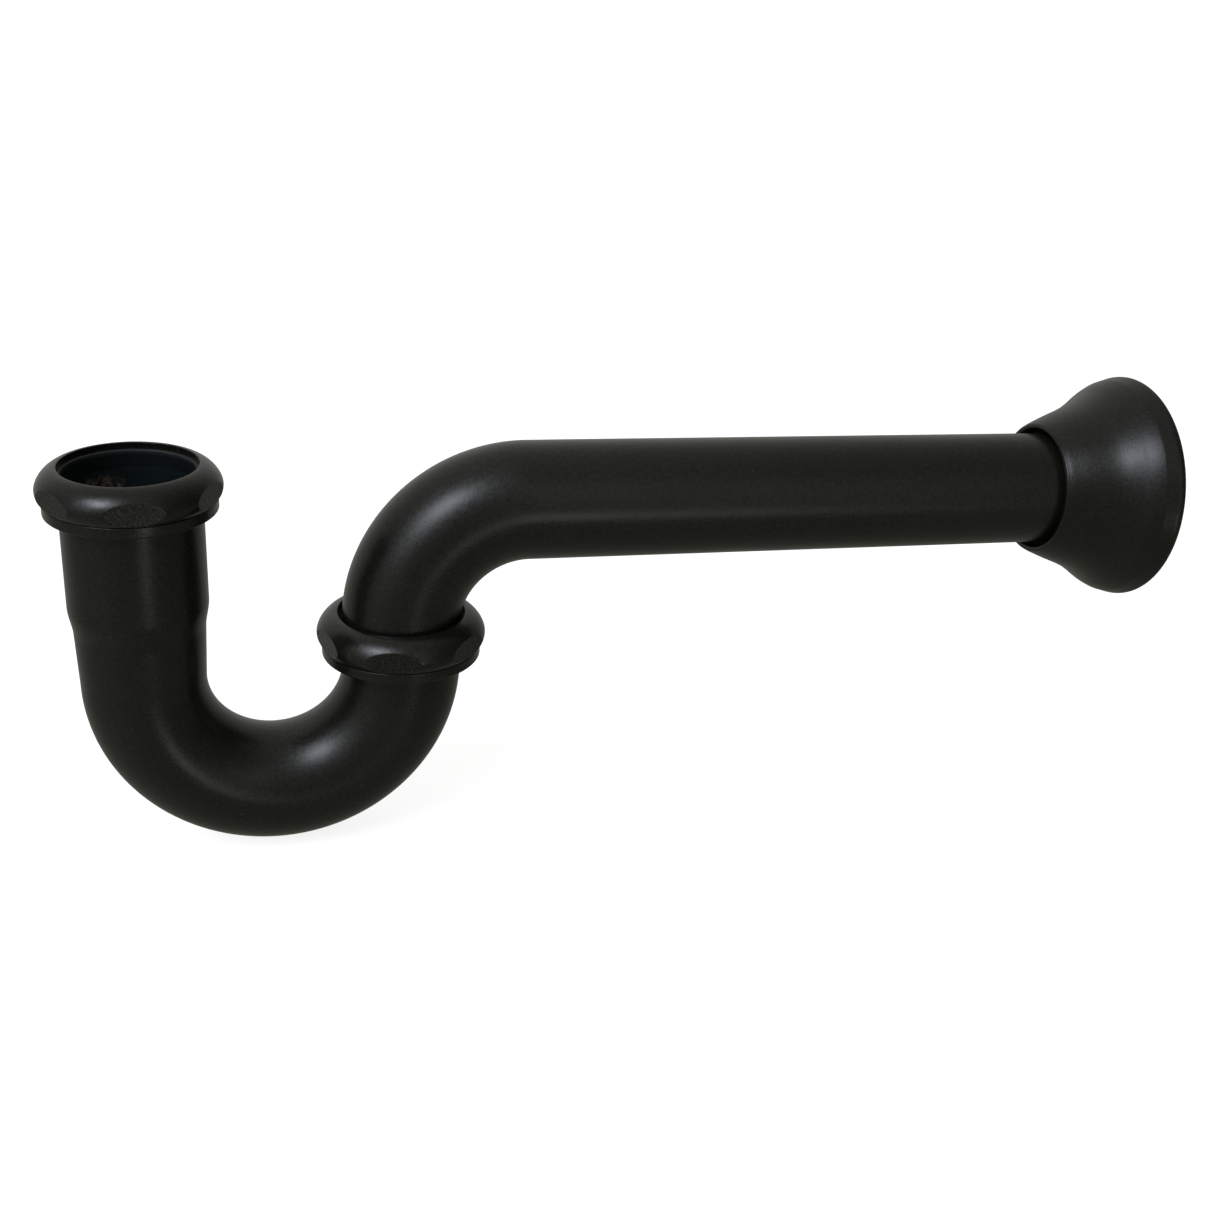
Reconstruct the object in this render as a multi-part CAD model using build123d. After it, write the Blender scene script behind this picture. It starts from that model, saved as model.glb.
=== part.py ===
from build123d import *
import os
from math import sin, cos, tan, pi, radians, degrees, sqrt

os.makedirs("parts", exist_ok=True)

# P trap for a 1-1/2 in. tubular drain, with a sloped wall bend and a bell flange.
# Frame: origin at the centre of the inlet socket's mouth, +Z up along the inlet,
# +X level towards the wall, the two bends lie in the XZ plane.  Millimetres.

# ---------------------------------------------------------------- tube stock
TUBE_R = 19.05            # 1-1/2 in. outside diameter
TUBE_T = 1.37             # 17 gauge brass
CUP_OR = 20.86            # swaged inlet cup, outside
CUP_IR = 19.50            # swaged inlet cup, bore: takes a 1-1/2 in. tailpiece
CUP_DEPTH = 36.90         # straight part of the cup below its mouth
CUP_BODY_R = 21.00        # outside of the cup below the ferrule, left a little thicker
CUP_SHOULDER = (7.20, 8.40)         # heights below the mouth where the outside steps up to it
SWAGE_L = 9.00            # length of the swage from cup to tube
SWAGE_FOOT_R = 19.72      # outside at the foot of the swage, easing to the tube's size at the bend
BEND_DROP = 63.34         # mouth of the cup down to the top of the U bend
J_R = 40.37               # centreline radius of the U bend
OUT_X = 2 * J_R           # outlet axis

# ---------------------------------------------------------------- nuts (both alike)
NUT_H = 14.15             # overall height
NUT_HOLE_R = 20.35        # hole in the rolled-in lip
NUT_LIP = 2.10            # thickness of the lip
NUT_SKIRT_R = 25.47       # plain ring under the bulge
NUT_SKIRT_H = 3.40
NUT_R = 27.07             # crest of the bulge
NUT_CREST_Z = 7.45
NUT_FLAT = 25.70          # axis to each of the six flats
NUT_SEAT = 6.95           # nut's bottom face up to the face of the ferrule
INLET_NUT_TURN = 2.7      # where the flats stand when tight, degrees
UNION_NUT_TURN = -14.0

# ---------------------------------------------------------------- thread, 11-1/2 per inch
PITCH = 25.4 / 11.5
M_ROOT, M_CREST = 22.35, 23.55      # male root and crest radii
F_MINOR, F_MAJOR = 22.60, 23.85     # female crest and root radii
FLANK = 0.5                         # axial half width lost per mm of depth
M_HALF = 0.80                       # male half width at its root
AXIAL_GAP = 0.13                    # axial clearance on each flank
SCREW = 41.0                        # where round the axis a thread's ends fall, degrees
FERRULE_L = 6.45

# ---------------------------------------------------------------- rings in the joints
RING_OR = 22.30
GAP = 0.05
FRICTION_T = 0.80
FRICTION_IR = 19.50
UNION_FRICTION_IR = 19.85  # wider, so it can rise past the start of the bend with the nut
WASHER_IR = 19.27
COLLAR_T = 2.00
GASKET_T = 2.10

# ---------------------------------------------------------------- wall bend
WB_R = 39.61              # centreline radius
WB_START = 14.16 - BEND_DROP        # height where the bend begins
WB_ANGLE = 91.2           # the arm falls 1.2 degrees, 1/4 in. per foot
ARM_TO_MOUTH = 182.2      # end of the bend to the mouth of the flange
FL_L = 35.78              # depth of the bell flange
END_FIT = 22.4             # plain end of the arm, past the turned line
TUBE_SHORT = 3.60         # tube's end stands this far inside the flange's back face

# ---------------------------------------------------------------- bell flange
FL_T = 1.60               # metal thickness
FL_INNER = [(0.8, 22.62), (3.5, 24.03), (7.0, 25.54), (14.0, 28.33), (21.0, 32.43), (28.0, 36.97), (33.1, 38.52)]
FL_PROFILE = [(0.8, 22.72), (3.5, 24.03), (7.0, 25.52), (14.0, 28.31), (17.5, 30.04), (21.0, 32.26), (23.0, 33.64),
              (24.0, 34.42), (25.0, 35.15), (26.0, 35.81), (28.0, 36.95), (28.7, 37.31)]  # bell, up to its crease
FL_BAND = (32.6, 38.42)   # plain band from the crease to where the rim rounds over
FL_RIM_R = 38.52
GRIP_Z0, GRIP_Z1 = 4.2, 8.2         # rubber grip ring, from the flange's mouth


def ring(r_in, r_out, z0, z1):
    with BuildPart() as b:
        with BuildSketch(Plane.XY.offset(z0)):
            Circle(r_out)
            Circle(r_in, mode=Mode.SUBTRACT)
        extrude(amount=z1 - z0)
    return b.part


def turned(edges_fn):
    """Revolve a closed profile drawn in (radius, height) about Z."""
    with BuildPart() as b:
        with BuildSketch(Plane.XZ):
            with BuildLine():
                edges_fn()
            make_face()
        revolve(axis=Axis.Z)
    return b.part


def poly(points):
    pts = list(points)
    for a, c in zip(pts, pts[1:] + pts[:1]):
        Line(a, c)


def helix_body(r_in, half_in, r_out, half_out, z_low, z_high):
    """Trapezoid ridge swept along the thread; the thread's phase is fixed by z = 0 at angle 0."""
    k = int(z_low / PITCH) - 2
    z_start = k * PITCH
    turns = (z_high - z_start) / PITCH
    path = Helix(pitch=PITCH, height=PITCH * turns, radius=(r_in + r_out) / 2)
    with BuildSketch(Plane.XZ) as s:
        with BuildLine():
            poly([(r_in, -half_in), (r_out, -half_out), (r_out, half_out), (r_in, half_in)])
        make_face()
    body = sweep(s.sketch, path=path, is_frenet=True)
    # a screw motion keeps the thread's phase and moves its ends off the XZ plane
    return Pos(0, 0, z_start + PITCH * SCREW / 360) * (Rot(0, 0, SCREW) * body)


def ferrule(r_in, top, phase_top):
    """Threaded ferrule: a ring with a male thread, its top face at z = top."""
    z0, z1 = top - FERRULE_L, top
    base = turned(lambda: poly([(r_in, z0), (M_ROOT, z0), (M_ROOT, z1), (r_in, z1)]))
    r_in_t = M_ROOT - 0.15
    ridge = helix_body(r_in_t, M_HALF + FLANK * 0.15, M_CREST, M_HALF - FLANK * (M_CREST - M_ROOT),
                       z0 - phase_top - 1.5, z1 - phase_top + 1.5)
    ridge = Pos(0, 0, phase_top) * ridge
    # lead chamfer at the top and bottom of the thread
    trim = turned(lambda: poly([(r_in_t - 0.5, z0), (M_ROOT + 0.4, z0), (M_CREST + 0.4, z0 + 0.8),
                                (M_CREST + 0.4, z1 - 0.8), (M_ROOT + 0.4, z1), (r_in_t - 0.5, z1)]))
    return base + (ridge & trim)


def superellipse(n=12):
    pts = []
    top_r = NUT_HOLE_R + 0.25
    for i in range(1, n):
        a = i * (pi / 2) / n
        pts.append((top_r + (NUT_R - top_r) * cos(a) ** 1.2,
                    NUT_CREST_Z + (NUT_H - NUT_CREST_Z) * sin(a) ** 1.2))
    return pts


def slip_nut(z_bottom, turn_deg):
    """Slip nut: plain skirt ring, bulge with six flats, lip rolled in over the joint."""
    top_r = NUT_HOLE_R + 0.25
    lip_z = NUT_H - NUT_LIP

    def outline():
        Line((F_MAJOR + 0.25, 0), (NUT_SKIRT_R - 0.45, 0))
        TangentArc((NUT_SKIRT_R - 0.45, 0), (NUT_SKIRT_R, 0.45), tangent=(1, 0))
        Line((NUT_SKIRT_R, 0.45), (NUT_SKIRT_R, NUT_SKIRT_H - 0.15))
        Line((NUT_SKIRT_R, NUT_SKIRT_H - 0.15), (NUT_SKIRT_R - 0.12, NUT_SKIRT_H))
        Line((NUT_SKIRT_R - 0.12, NUT_SKIRT_H), (NUT_SKIRT_R - 0.42, NUT_SKIRT_H + 0.05))
        Line((NUT_SKIRT_R - 0.42, NUT_SKIRT_H + 0.05), (NUT_SKIRT_R - 0.42, NUT_SKIRT_H + 0.25))
        Line((NUT_SKIRT_R - 0.42, NUT_SKIRT_H + 0.25), (NUT_SKIRT_R + 0.26, NUT_SKIRT_H + 0.42))
        Spline((NUT_SKIRT_R + 0.26, NUT_SKIRT_H + 0.42), (NUT_SKIRT_R + 1.08, 5.05), (NUT_R, NUT_CREST_Z),
               tangents=((0.7, 1), (0, 1)))
        Spline(*([(NUT_R, NUT_CREST_Z)] + superellipse() + [(top_r, NUT_H)]),
               tangents=((0, 1), (-1, 0)))
        TangentArc((top_r, NUT_H), (NUT_HOLE_R, NUT_H - 0.25), tangent=(-1, 0))
        Line((NUT_HOLE_R, NUT_H - 0.25), (NUT_HOLE_R, lip_z + 0.15))
        Line((NUT_HOLE_R, lip_z + 0.15), (NUT_HOLE_R + 0.15, lip_z))
        Line((NUT_HOLE_R + 0.15, lip_z), (F_MINOR, lip_z))
        Line((F_MINOR, lip_z), (F_MINOR, 8.95))
        Line((F_MINOR, 8.95), (F_MAJOR + 0.05, 8.55))
        Line((F_MAJOR + 0.05, 8.55), (F_MAJOR + 0.05, 7.35))
        Line((F_MAJOR + 0.05, 7.35), (F_MINOR, 6.85))
        Line((F_MINOR, 6.85), (F_MINOR, 1.25))
        Line((F_MINOR, 1.25), (F_MAJOR + 0.25, 0))

    body = turned(outline)
    with BuildPart() as hexagon:
        with BuildSketch():
            RegularPolygon(radius=NUT_FLAT, side_count=6, major_radius=False, rotation=0)
        extrude(amount=NUT_H + 1)
    hx = hexagon.part
    # RegularPolygon's flats: find which way one faces, then turn it to the wanted azimuth
    side = [f for f in hx.faces() if abs(f.normal_at().Z) < 0.5][0].normal_at()
    from math import atan2
    have = degrees(atan2(side.Y, side.X))
    hx = Rot(0, 0, (-90 + turn_deg) - have) * hx
    body = body & hx
    # female thread: its phase matches the ferrule, whose top face is NUT_SEAT above the nut's bottom
    r0 = F_MINOR - 0.15
    half = lambda r: M_HALF - FLANK * (r - M_ROOT) + AXIAL_GAP
    cutter = helix_body(r0, half(r0), F_MAJOR, half(F_MAJOR), -2.5 - NUT_SEAT, 7.9 - NUT_SEAT)
    before = body.volume
    groove = (Pos(0, 0, NUT_SEAT) * cutter) & ring(F_MINOR - 2.5, F_MAJOR + 2, -0.5, 8.58)
    body = body - groove
    assert before - body.volume > 300, "female thread was not cut"
    return Pos(0, 0, z_bottom) * body


# ================================================================ trap bend tube
def swage_curve(r_a, z_a, r_b, z_b, lean):
    Spline((r_a, z_a), (r_b, z_b), tangents=((0, -1), (lean, -1)), tangent_scalars=(0.9, 0.9))


def inlet_leg_outline():
    zt = -CUP_DEPTH
    zb = -CUP_DEPTH - SWAGE_L
    ir = TUBE_R - TUBE_T
    Line((CUP_IR, 0), (CUP_OR - 0.25, 0))
    Line((CUP_OR - 0.25, 0), (CUP_OR, -0.25))
    foot = SWAGE_FOOT_R - TUBE_T
    lean = (TUBE_R - SWAGE_FOOT_R) / (BEND_DROP + zb)
    Line((CUP_OR, -0.25), (CUP_OR, -CUP_SHOULDER[0]))
    Line((CUP_OR, -CUP_SHOULDER[0]), (CUP_BODY_R, -CUP_SHOULDER[1]))
    Line((CUP_BODY_R, -CUP_SHOULDER[1]), (CUP_BODY_R, zt))
    swage_curve(CUP_BODY_R, zt, SWAGE_FOOT_R, zb, lean)
    Line((SWAGE_FOOT_R, zb), (TUBE_R, -BEND_DROP))
    Line((TUBE_R, -BEND_DROP), (ir, -BEND_DROP))
    Line((ir, -BEND_DROP), (foot, zb))
    Spline((foot, zb), (CUP_IR, zt), tangents=((-lean, 1), (0, 1)), tangent_scalars=(0.9, 0.9))
    Line((CUP_IR, zt), (CUP_IR, 0))


inlet_leg = turned(inlet_leg_outline)
with BuildPart() as ub:
    with BuildSketch(Plane.XY.offset(-BEND_DROP)):
        Circle(TUBE_R)
        Circle(TUBE_R - TUBE_T, mode=Mode.SUBTRACT)
    revolve(axis=Axis((J_R, 0, -BEND_DROP), (0, 1, 0)), revolution_arc=180)
u_bend = ub.part
if u_bend.bounding_box().min.Z > -BEND_DROP - 1:
    u_bend = mirror(u_bend, Plane.XY.offset(-BEND_DROP))

UNION_BOTTOM = 3.58 - BEND_DROP                 # bottom face of the union nut
UNION_SEAT = UNION_BOTTOM + NUT_SEAT            # end of the trap bend and its ferrule
outlet_leg = Pos(OUT_X, 0, 0) * ring(TUBE_R - TUBE_T, TUBE_R, -BEND_DROP, UNION_SEAT)
trap_bend_tube = inlet_leg + u_bend + outlet_leg

# ================================================================ inlet joint
inlet_ferrule = ferrule(CUP_OR, 0.0, 0.0)
INLET_BOTTOM = -NUT_SEAT
inlet_slip_nut = slip_nut(INLET_BOTTOM, INLET_NUT_TURN)
lip_under = INLET_BOTTOM + NUT_H - NUT_LIP
fr1, fr0 = lip_under - GAP, lip_under - GAP - FRICTION_T
inlet_friction_ring = turned(lambda: poly([
    (FRICTION_IR + 0.12, fr0), (RING_OR, fr0), (RING_OR, fr1), (FRICTION_IR + 0.25, fr1),
    (FRICTION_IR + 0.07, fr1 - 0.08), (FRICTION_IR, fr1 - 0.25), (FRICTION_IR, fr0 + 0.12)]))
w0, w1 = GAP, fr0 - GAP
inlet_slip_washer = turned(lambda: poly([
    (WASHER_IR + 0.2, w0), (RING_OR - 0.3, w0), (RING_OR, w0 + 0.3), (RING_OR, w1 - 0.2), (RING_OR - 0.2, w1),
    (WASHER_IR + 0.25, w1), (WASHER_IR, w1 - 0.25), (WASHER_IR, w0 + 0.2)]))

# ================================================================ union between the two bends
outlet_ferrule = Pos(OUT_X, 0, 0) * ferrule(TUBE_R, UNION_SEAT, UNION_SEAT)
union_nut = Pos(OUT_X, 0, 0) * slip_nut(UNION_BOTTOM, UNION_NUT_TURN)
g0 = UNION_SEAT + GAP
g1 = g0 + GASKET_T
outlet_gasket = Pos(OUT_X, 0, 0) * turned(lambda: poly([
    (TUBE_R - TUBE_T, g0), (RING_OR, g0), (RING_OR, g1), (TUBE_R - TUBE_T, g1)]))
c0 = g1 + GAP
c1 = c0 + COLLAR_T
wall_bend_collar = Pos(OUT_X, 0, 0) * turned(lambda: poly([
    (TUBE_R, c0), (RING_OR - 0.2, c0), (RING_OR, c0 + 0.2), (RING_OR, c1 - 0.3), (RING_OR - 0.3, c1), (TUBE_R, c1)]))
u_lip_under = UNION_BOTTOM + NUT_H - NUT_LIP
u1 = u_lip_under - GAP
u0 = u1 - FRICTION_T
union_friction_ring = Pos(OUT_X, 0, 0) * turned(lambda: poly([
    (UNION_FRICTION_IR, u0), (RING_OR, u0), (RING_OR, u1), (UNION_FRICTION_IR + 0.1, u1), (UNION_FRICTION_IR, u1 - 0.1)]))
assert u0 - c1 > 0.02, (u0, c1)

# ================================================================ wall bend tube
th = radians(WB_ANGLE)
wb_low = ring(TUBE_R - TUBE_T, TUBE_R, c0, WB_START)
with BuildPart() as wb:
    with BuildSketch(Plane.XY.offset(WB_START)):
        Circle(TUBE_R)
        Circle(TUBE_R - TUBE_T, mode=Mode.SUBTRACT)
    revolve(axis=Axis((WB_R, 0, WB_START), (0, 1, 0)), revolution_arc=WB_ANGLE)
wb_bend = wb.part
ARM_DIR = Vector(sin(th), 0, cos(th))
BEND_END = Vector(OUT_X + WB_R - WB_R * cos(th), 0, WB_START + WB_R * sin(th))
MOUTH = BEND_END + ARM_DIR * ARM_TO_MOUTH
ARM_L = ARM_TO_MOUTH + FL_L - TUBE_SHORT


def along_arm(part, start):
    """Place a part built on +Z so that it runs along the arm from a point."""
    return Plane(origin=start, x_dir=(0, 1, 0), z_dir=ARM_DIR).location * part


LINE_Z = ARM_L - END_FIT                  # turned line that marks how far the end goes into the wall fitting
tube_end = turned(lambda: poly([
    (TUBE_R - TUBE_T, 0), (TUBE_R, 0), (TUBE_R, LINE_Z - 0.8), (TUBE_R - 0.3, LINE_Z - 0.8), (TUBE_R - 0.3, LINE_Z),
    (TUBE_R, LINE_Z), (TUBE_R, ARM_L - 0.25), (TUBE_R - 0.25, ARM_L), (TUBE_R - TUBE_T, ARM_L)]))
wall_bend_tube = Pos(OUT_X, 0, 0) * (wb_low + wb_bend) + along_arm(tube_end, BEND_END)

# the collar's bore follows the first fraction of the bend
with BuildPart() as wc:
    with BuildSketch(Plane.XY.offset(WB_START)):
        Circle(TUBE_R + 0.01)
    revolve(axis=Axis((WB_R, 0, WB_START), (0, 1, 0)), revolution_arc=10)
wall_bend_collar = wall_bend_collar - Pos(OUT_X, 0, 0) * wc.part

# ================================================================ bell flange
fl_hole = 22.30 - FL_T
n_in = []
for i in range(1, len(FL_INNER) - 1):
    (za, ra), (z, r), (zc, rc) = FL_INNER[i - 1:i + 2]
    s = sqrt((zc - za) ** 2 + (rc - ra) ** 2)
    n_in.append((r - FL_T * (zc - za) / s, z + FL_T * (rc - ra) / s))


def flange_outline():
    # coordinates are (radius, distance from the mouth)
    z0, r0 = FL_PROFILE[0]
    ThreePointArc((fl_hole, 0.8), (fl_hole + FL_T * 0.52, 0.0), (r0, z0))
    Spline(*[(r, z) for z, r in FL_PROFILE], tangents=((0.62, 1.0), (0.51, 1)))
    zc, rc = FL_PROFILE[-1]
    zb, rb = FL_BAND
    Line((rc, zc), (rb, zb))
    Spline((rb, zb), (38.55, 34.0), (38.05, 35.2), (FL_RIM_R - 1.35, FL_L), tangents=((rb - rc, zb - zc), (-1, 0)))
    Line((FL_RIM_R - 1.35, FL_L), (FL_RIM_R - 2.65, FL_L))
    inner = [(FL_RIM_R - 2.65, FL_L), (FL_RIM_R - 2.3, FL_L - 1.6), (FL_RIM_R - 2.6, FL_L - 3.6)]
    Spline(*(inner + n_in[::-1] + [(fl_hole + 0.42, 2.2), (fl_hole, 0.8)]),
           tangents=((0.1, -1.0), (0, -1)))


bell_flange = along_arm(turned(flange_outline), MOUTH)


# ================================================================ grip ring in the flange's neck
def inner_radius(z):
    pts = sorted([(zz, rr) for rr, zz in n_in] + [(2.2, fl_hole + 0.42)])
    for (a, ra), (b, rb) in zip(pts, pts[1:]):
        if a <= z <= b:
            return ra + (rb - ra) * (z - a) / (b - a)
    return pts[-1][1]


grip_a = inner_radius(GRIP_Z0) - 0.25
grip_b = inner_radius(GRIP_Z1) - 0.25
flange_grip_ring = along_arm(turned(lambda: poly([
    (TUBE_R + 0.06, GRIP_Z0 + 0.4), (TUBE_R + 0.4, GRIP_Z0), (grip_a, GRIP_Z0), (grip_b, GRIP_Z1),
    (TUBE_R + 0.4, GRIP_Z1), (TUBE_R + 0.06, GRIP_Z1 - 0.4)])), MOUTH)

NODES = {
    "trap_bend_tube": trap_bend_tube,
    "inlet_ferrule": inlet_ferrule,
    "inlet_slip_nut": inlet_slip_nut,
    "inlet_friction_ring": inlet_friction_ring,
    "inlet_slip_washer": inlet_slip_washer,
    "outlet_ferrule": outlet_ferrule,
    "outlet_gasket": outlet_gasket,
    "union_nut": union_nut,
    "union_friction_ring": union_friction_ring,
    "wall_bend_tube": wall_bend_tube,
    "wall_bend_collar": wall_bend_collar,
    "bell_flange": bell_flange,
    "flange_grip_ring": flange_grip_ring,
}
for name, part in NODES.items():
    solids = part.solids()
    assert len(solids) == 1, (name, len(solids))
    s = solids[0]
    s.label = name
    export_step(s, "parts/%s.step" % name)
    print(name, round(s.volume, 1), s.is_valid)
print("BEND_END", BEND_END, "MOUTH", MOUTH, "DIR", ARM_DIR, "ARM_L", ARM_L)
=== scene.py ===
import math

import bpy
import numpy as np
from mathutils import Matrix, Vector


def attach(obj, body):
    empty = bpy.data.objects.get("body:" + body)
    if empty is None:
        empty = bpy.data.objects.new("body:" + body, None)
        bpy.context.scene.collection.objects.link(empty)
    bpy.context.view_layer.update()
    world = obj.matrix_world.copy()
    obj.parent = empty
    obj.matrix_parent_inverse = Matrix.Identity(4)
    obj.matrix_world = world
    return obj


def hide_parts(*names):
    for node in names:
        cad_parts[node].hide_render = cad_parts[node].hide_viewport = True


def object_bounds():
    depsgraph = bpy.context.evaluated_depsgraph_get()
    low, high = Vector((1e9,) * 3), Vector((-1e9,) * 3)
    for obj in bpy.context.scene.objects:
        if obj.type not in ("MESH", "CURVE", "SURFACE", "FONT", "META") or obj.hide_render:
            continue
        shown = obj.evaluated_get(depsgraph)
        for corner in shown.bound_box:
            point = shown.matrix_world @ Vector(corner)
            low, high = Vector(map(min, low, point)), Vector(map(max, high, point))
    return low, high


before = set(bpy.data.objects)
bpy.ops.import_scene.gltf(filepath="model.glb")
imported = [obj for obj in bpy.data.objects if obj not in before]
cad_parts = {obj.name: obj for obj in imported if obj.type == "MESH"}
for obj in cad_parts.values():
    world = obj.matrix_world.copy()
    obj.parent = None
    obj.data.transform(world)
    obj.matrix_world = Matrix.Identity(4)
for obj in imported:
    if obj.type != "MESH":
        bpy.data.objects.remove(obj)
lo0, hi0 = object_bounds()

# ---------------------------------------------------------------- dimensions, mm, as in the CAD
TUBE_R, BORE_R = 19.05, 17.68
CUP_OR, CUP_IR, CUP_DEPTH, SWAGE_L = 20.86, 19.50, 36.90, 9.00
BODY_R, FOOT_R, FOOT_IR = 21.00, 19.72, 18.35      # cup below its ferrule, foot of the swage out and in
DROP, J_R = 63.34, 40.37
OUT_X = 2 * J_R
PITCH = 25.4 / 11.5
M_ROOT, F_MINOR, F_MAJOR = 22.35, 22.60, 23.85
NUT_SEAT, NUT_FLAT, NUT_H = 6.95, 25.70, 14.15
UNION_BOTTOM = 3.58 - DROP
UNION_SEAT = UNION_BOTTOM + NUT_SEAT
WB_R, WB_START, WB_ANGLE = 39.61, 14.16 - DROP, math.radians(91.2)
ARM_TO_MOUTH, FL_L, TUBE_SHORT, END_FIT, FL_T = 182.2, 35.78, 3.60, 22.4, 1.60
DIR = np.array([math.sin(WB_ANGLE), 0, math.cos(WB_ANGLE)])
ARM_UP = np.array([-math.cos(WB_ANGLE), 0, math.sin(WB_ANGLE)])
BEND_END = np.array([OUT_X + WB_R - WB_R * math.cos(WB_ANGLE), 0, WB_START + WB_R * math.sin(WB_ANGLE)])
MOUTH = BEND_END + DIR * ARM_TO_MOUTH


# ================================================================ mesh tools
def grid_mesh(name, P, sharp=24.0, attrs=None):
    """A closed all-quad skin from a grid of points that wraps round both ways."""
    nt, n = P.shape[:2]
    i = np.arange(nt)[:, None]
    j = np.arange(n)[None, :]
    i1, j1 = (i + 1) % nt, (j + 1) % n
    corners = np.stack([i * n + j, i * n + j1, i1 * n + j1, i1 * n + j], -1).reshape(-1, 4)
    du = np.linalg.norm(np.roll(P, -1, 1) - P, axis=2).mean(0)
    v = np.concatenate([[0], np.cumsum(du)]) / du.sum()
    u = np.arange(nt + 1) / nt
    uv = np.stack([
        np.stack([u[:-1, None] + 0 * j, v[None, :-1] + 0 * i], -1),
        np.stack([u[:-1, None] + 0 * j, v[None, 1:] + 0 * i], -1),
        np.stack([u[1:, None] + 0 * j, v[None, 1:] + 0 * i], -1),
        np.stack([u[1:, None] + 0 * j, v[None, :-1] + 0 * i], -1)], 2).reshape(-1, 4, 2)
    co = (P / 1000.0).reshape(-1, 3)
    q = co[corners]
    vol = (np.cross(q[:, 0], q[:, 1]) * q[:, 2]).sum() + (np.cross(q[:, 0], q[:, 2]) * q[:, 3]).sum()
    if vol < 0:
        corners, uv = corners[:, ::-1], uv[:, ::-1]
    me = bpy.data.meshes.new(name)
    me.vertices.add(len(co))
    me.vertices.foreach_set("co", co.astype(np.float32).ravel())
    me.loops.add(corners.size)
    me.loops.foreach_set("vertex_index", np.ascontiguousarray(corners).astype(np.int32).ravel())
    me.polygons.add(len(corners))
    me.polygons.foreach_set("loop_start", (4 * np.arange(len(corners))).astype(np.int32))
    me.update(calc_edges=True)
    layer = me.uv_layers.new(name="UVMap")
    layer.data.foreach_set("uv", np.ascontiguousarray(uv).astype(np.float32).ravel())
    me.polygons.foreach_set("use_smooth", np.ones(len(corners), bool))
    me.set_sharp_from_angle(angle=math.radians(sharp))
    for key, val in (attrs or {}).items():
        a = me.attributes.new(key, "FLOAT", "POINT")
        a.data.foreach_set("value", np.broadcast_to(val, (nt, n)).astype(np.float32).ravel())
    me.validate()
    ob = bpy.data.objects.new(name, me)
    bpy.context.scene.collection.objects.link(ob)
    return ob


def rounded(points, step, arc=14.0):
    """Closed outline from (r, s, fillet radius) corners, with filleted corners and even spacing."""
    n = len(points)
    chunks = []
    for k in range(n):
        p0, p1, p2 = (np.array(points[(k + d) % n][:2], float) for d in (-1, 0, 1))
        rad = points[k][2] if len(points[k]) > 2 else 0.0
        a, b = p0 - p1, p2 - p1
        la, lb = np.linalg.norm(a), np.linalg.norm(b)
        a, b = a / la, b / lb
        ang = math.acos(max(-1, min(1, float(a @ b))))
        if rad <= 0 or ang > math.radians(177):
            chunks.append([p1])
            continue
        t = min(rad / math.tan(ang / 2), 0.48 * la, 0.48 * lb)
        rr = t * math.tan(ang / 2)
        c = p1 + (a + b) / np.linalg.norm(a + b) * (rr / math.sin(ang / 2))
        s, e = p1 + a * t - c, p1 + b * t - c
        turn = math.pi - ang
        m = max(2, int(math.ceil(math.degrees(turn) / arc)))
        sign = 1.0 if s[0] * e[1] - s[1] * e[0] > 0 else -1.0
        arcpts = []
        for q in range(m + 1):
            w = sign * turn * q / m
            arcpts.append(c + np.array([s[0] * math.cos(w) - s[1] * math.sin(w), s[0] * math.sin(w) + s[1] * math.cos(w)]))
        chunks.append(arcpts)
    out = []
    for k in range(n):
        out.extend(chunks[k])
        a, b = chunks[k][-1], chunks[(k + 1) % n][0]
        d = np.linalg.norm(b - a)
        m = int(math.ceil(d / step))
        for q in range(1, m):
            out.append(a + (b - a) * q / m)
    return np.array(out)


def spline(points, t0, t1, n):
    """Cubic spline through points, by chord length, with the end directions given."""
    p = np.array(points, float)
    h = np.linalg.norm(np.diff(p, axis=0), axis=1)
    t = np.concatenate([[0], np.cumsum(h)])
    m = len(p)
    A, B = np.zeros((m, m)), np.zeros((m, 2))
    A[0, 0] = A[-1, -1] = 1
    B[0] = np.array(t0, float) / np.linalg.norm(t0)
    B[-1] = np.array(t1, float) / np.linalg.norm(t1)
    for k in range(1, m - 1):
        A[k, k - 1], A[k, k], A[k, k + 1] = h[k], 2 * (h[k - 1] + h[k]), h[k - 1]
        B[k] = 3 * (h[k] * (p[k] - p[k - 1]) / h[k - 1] + h[k - 1] * (p[k + 1] - p[k]) / h[k])
    D = np.linalg.solve(A, B)
    x = np.linspace(0, t[-1], n)
    k = np.clip(np.searchsorted(t, x, "right") - 1, 0, m - 2)
    w = ((x - t[k]) / h[k])[:, None]
    hk = h[k][:, None]
    return ((2 * w**3 - 3 * w**2 + 1) * p[k] + (w**3 - 2 * w**2 + w) * hk * D[k]
            + (-2 * w**3 + 3 * w**2) * p[k + 1] + (w**3 - w**2) * hk * D[k + 1])


def axis_frame(centre, along, up=(1, 0, 0)):
    """Frame for a piece turned about a straight axis; the second coordinate runs along it."""
    centre, along, up = (np.array(x, float) for x in (centre, along, up))

    def f(s):
        s = np.asarray(s)[:, None]
        return centre + along * s, np.broadcast_to(up, (len(s), 3))
    return f, np.cross(along, up)


def trap_path(s):
    s = np.asarray(s, float)
    bend = math.pi * J_R
    t = np.clip((s - DROP) / J_R, 0, math.pi)
    e = np.stack([np.cos(math.pi + t), 0 * t, np.sin(math.pi + t)], -1)
    c = np.array([J_R, 0, -DROP]) + J_R * e
    c[:, 2] += np.where(s < DROP, DROP - s, 0) + np.where(s > DROP + bend, s - DROP - bend, 0)
    return c, e


C0 = UNION_SEAT + 0.05 + 2.10 + 0.05
LOW = WB_START - C0


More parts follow.
